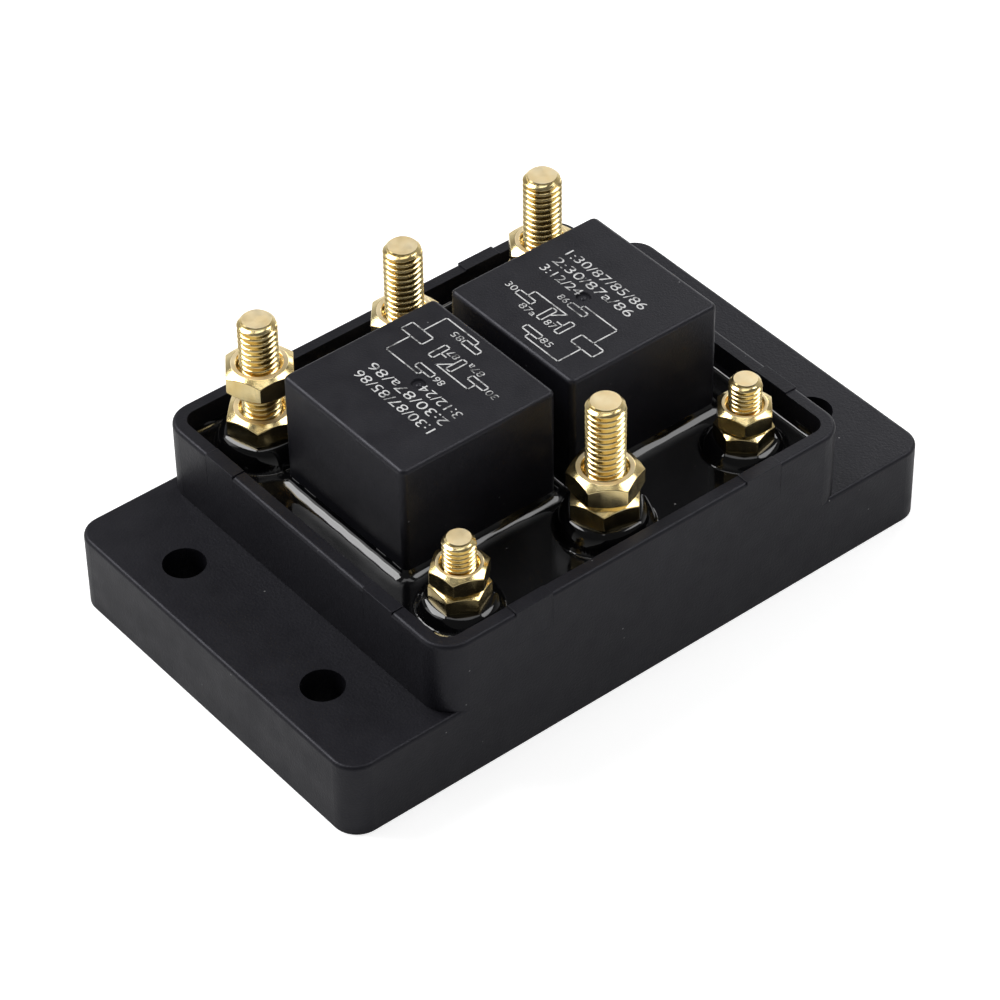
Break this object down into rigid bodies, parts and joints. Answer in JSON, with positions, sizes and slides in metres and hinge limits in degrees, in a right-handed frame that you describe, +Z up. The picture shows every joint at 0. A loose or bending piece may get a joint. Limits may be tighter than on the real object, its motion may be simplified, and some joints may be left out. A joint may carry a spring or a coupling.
{
  "type": "heavy-duty relay module",
  "caption": "Potted changeover relay module in a black tray housing with mounting flanges, square relay covers and threaded brass terminal studs with nuts.",
  "frame": {"origin": "middle of the bounding box on the mounting face", "axes": "+X along the housing, +Y towards the row of large studs, +Z up from the mounting face"},
  "size_m": [0.11, 0.067, 0.0448],
  "materials": {
    "housing_plastic": "matte",
    "relay_plastic": "satin",
    "resin": "gloss",
    "board": "satin",
    "copper": "satin",
    "enamelled_copper": "gloss",
    "brass": "polished",
    "base_plastic": "matte",
    "soft_iron": "satin",
    "contact_silver": "satin"
  },
  "bodies": {
    "module": {"housing": "housing_plastic", "potting_resin": "resin", "circuit_board": "board", "bar_positive": "copper", "bar_negative": "copper", "bar_motor_a": "copper", "bar_motor_b": "copper", "stud_motor_a": "brass", "stud_positive": "brass", "stud_motor_b": "brass", "stud_control_a": "brass", "stud_negative": "brass", "stud_control_b": "brass", "sleeves_large": "brass", "sleeves_small": "brass", "lower_nuts_large": "brass", "lower_nuts_small": "brass", "relay_a_cover": "relay_plastic", "relay_a_base": "base_plastic", "relay_a_bobbin": "base_plastic", "relay_a_coil": "enamelled_copper", "relay_a_core": "soft_iron", "relay_a_yoke": "soft_iron", "relay_a_open_contact": "contact_silver", "relay_a_closed_contact": "contact_silver", "relay_a_terminal_30": "copper", "relay_a_terminal_85": "copper", "relay_a_terminal_86": "copper", "relay_a_terminal_87": "copper", "relay_a_terminal_87a": "copper", "relay_b_cover": "relay_plastic", "relay_b_base": "base_plastic", "relay_b_bobbin": "base_plastic", "relay_b_coil": "enamelled_copper", "relay_b_core": "soft_iron", "relay_b_yoke": "soft_iron", "relay_b_open_contact": "contact_silver", "relay_b_closed_contact": "contact_silver", "relay_b_terminal_30": "copper", "relay_b_terminal_85": "copper", "relay_b_terminal_86": "copper", "relay_b_terminal_87": "copper", "relay_b_terminal_87a": "copper"},
    "nut_motor_a": {"nut_motor_a": "brass"},
    "nut_positive": {"nut_positive": "brass"},
    "nut_motor_b": {"nut_motor_b": "brass"},
    "nut_control_a": {"nut_control_a": "brass"},
    "nut_negative": {"nut_negative": "brass"},
    "nut_control_b": {"nut_control_b": "brass"},
    "armature_a": {"relay_a_armature": "soft_iron", "relay_a_contact_spring": "copper", "relay_a_moving_contact": "contact_silver"},
    "armature_b": {"relay_b_armature": "soft_iron", "relay_b_contact_spring": "copper", "relay_b_moving_contact": "contact_silver"}
  },
  "joints": [
    {"name": "nut_motor_a_travel", "type": "slide", "parent": "module", "child": "nut_motor_a", "axis": [0, 0, 1], "range_m": [-0.0042, 0.008]},
    {"name": "nut_positive_travel", "type": "slide", "parent": "module", "child": "nut_positive", "axis": [0, 0, 1], "range_m": [0, 0.012]},
    {"name": "nut_motor_b_travel", "type": "slide", "parent": "module", "child": "nut_motor_b", "axis": [0, 0, 1], "range_m": [0, 0.012]},
    {"name": "nut_control_a_travel", "type": "slide", "parent": "module", "child": "nut_control_a", "axis": [0, 0, 1], "range_m": [0, 0.0047]},
    {"name": "nut_negative_travel", "type": "slide", "parent": "module", "child": "nut_negative", "axis": [0, 0, 1], "range_m": [0, 0.012]},
    {"name": "nut_control_b_travel", "type": "slide", "parent": "module", "child": "nut_control_b", "axis": [0, 0, 1], "range_m": [0, 0.0047]},
    {"name": "armature_a_pull", "type": "hinge", "parent": "module", "child": "armature_a", "pos_m": [-0.0244, 0, 0.03256], "axis": [0, 1, 0], "range_deg": [0, 4.5], "stiffness_Nm_per_rad": 0.01, "springref_deg": -5.73},
    {"name": "armature_b_pull", "type": "hinge", "parent": "module", "child": "armature_b", "pos_m": [0.0244, 0, 0.03256], "axis": [0, -1, 0], "range_deg": [0, 4.5], "stiffness_Nm_per_rad": 0.01, "springref_deg": -5.73}
  ]
}
